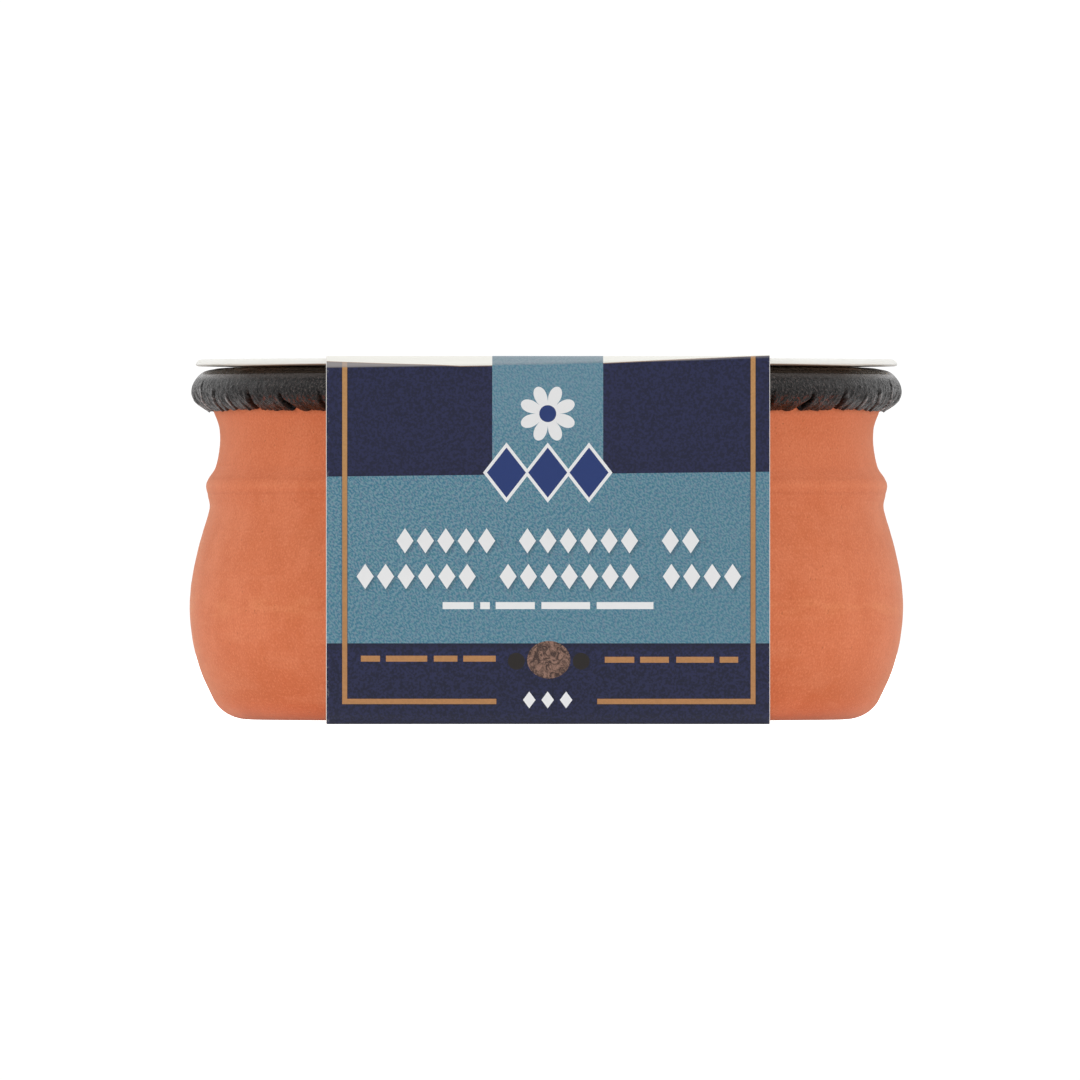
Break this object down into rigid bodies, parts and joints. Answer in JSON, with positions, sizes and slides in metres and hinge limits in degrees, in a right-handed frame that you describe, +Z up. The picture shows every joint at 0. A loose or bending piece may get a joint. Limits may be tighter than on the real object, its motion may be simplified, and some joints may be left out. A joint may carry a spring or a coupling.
{
  "type": "pot of soft goat cheese and truffle dip",
  "caption": "Shut round terracotta pot of soft cheese: dark gathered film over the rim, flat pale lid on top and a board sleeve folded round front, top, back and underside.",
  "frame": {"origin": "middle of the flat underside, on the surface that the pack stands on", "axes": "+Z up; the sleeve's front panel faces -Y; +X to the right as seen from the front"},
  "size_m": [0.0978, 0.0992, 0.0502],
  "materials": {
    "terracotta": "unglazed, matt",
    "film": "satin, finely wrinkled",
    "lid_plastic": "smooth, slightly translucent",
    "board": "printed, satin"
  },
  "bodies": {
    "root": {"pot": "terracotta", "cover": "film", "lid": "lid_plastic", "sleeve": "board"}
  },
  "joints": []
}
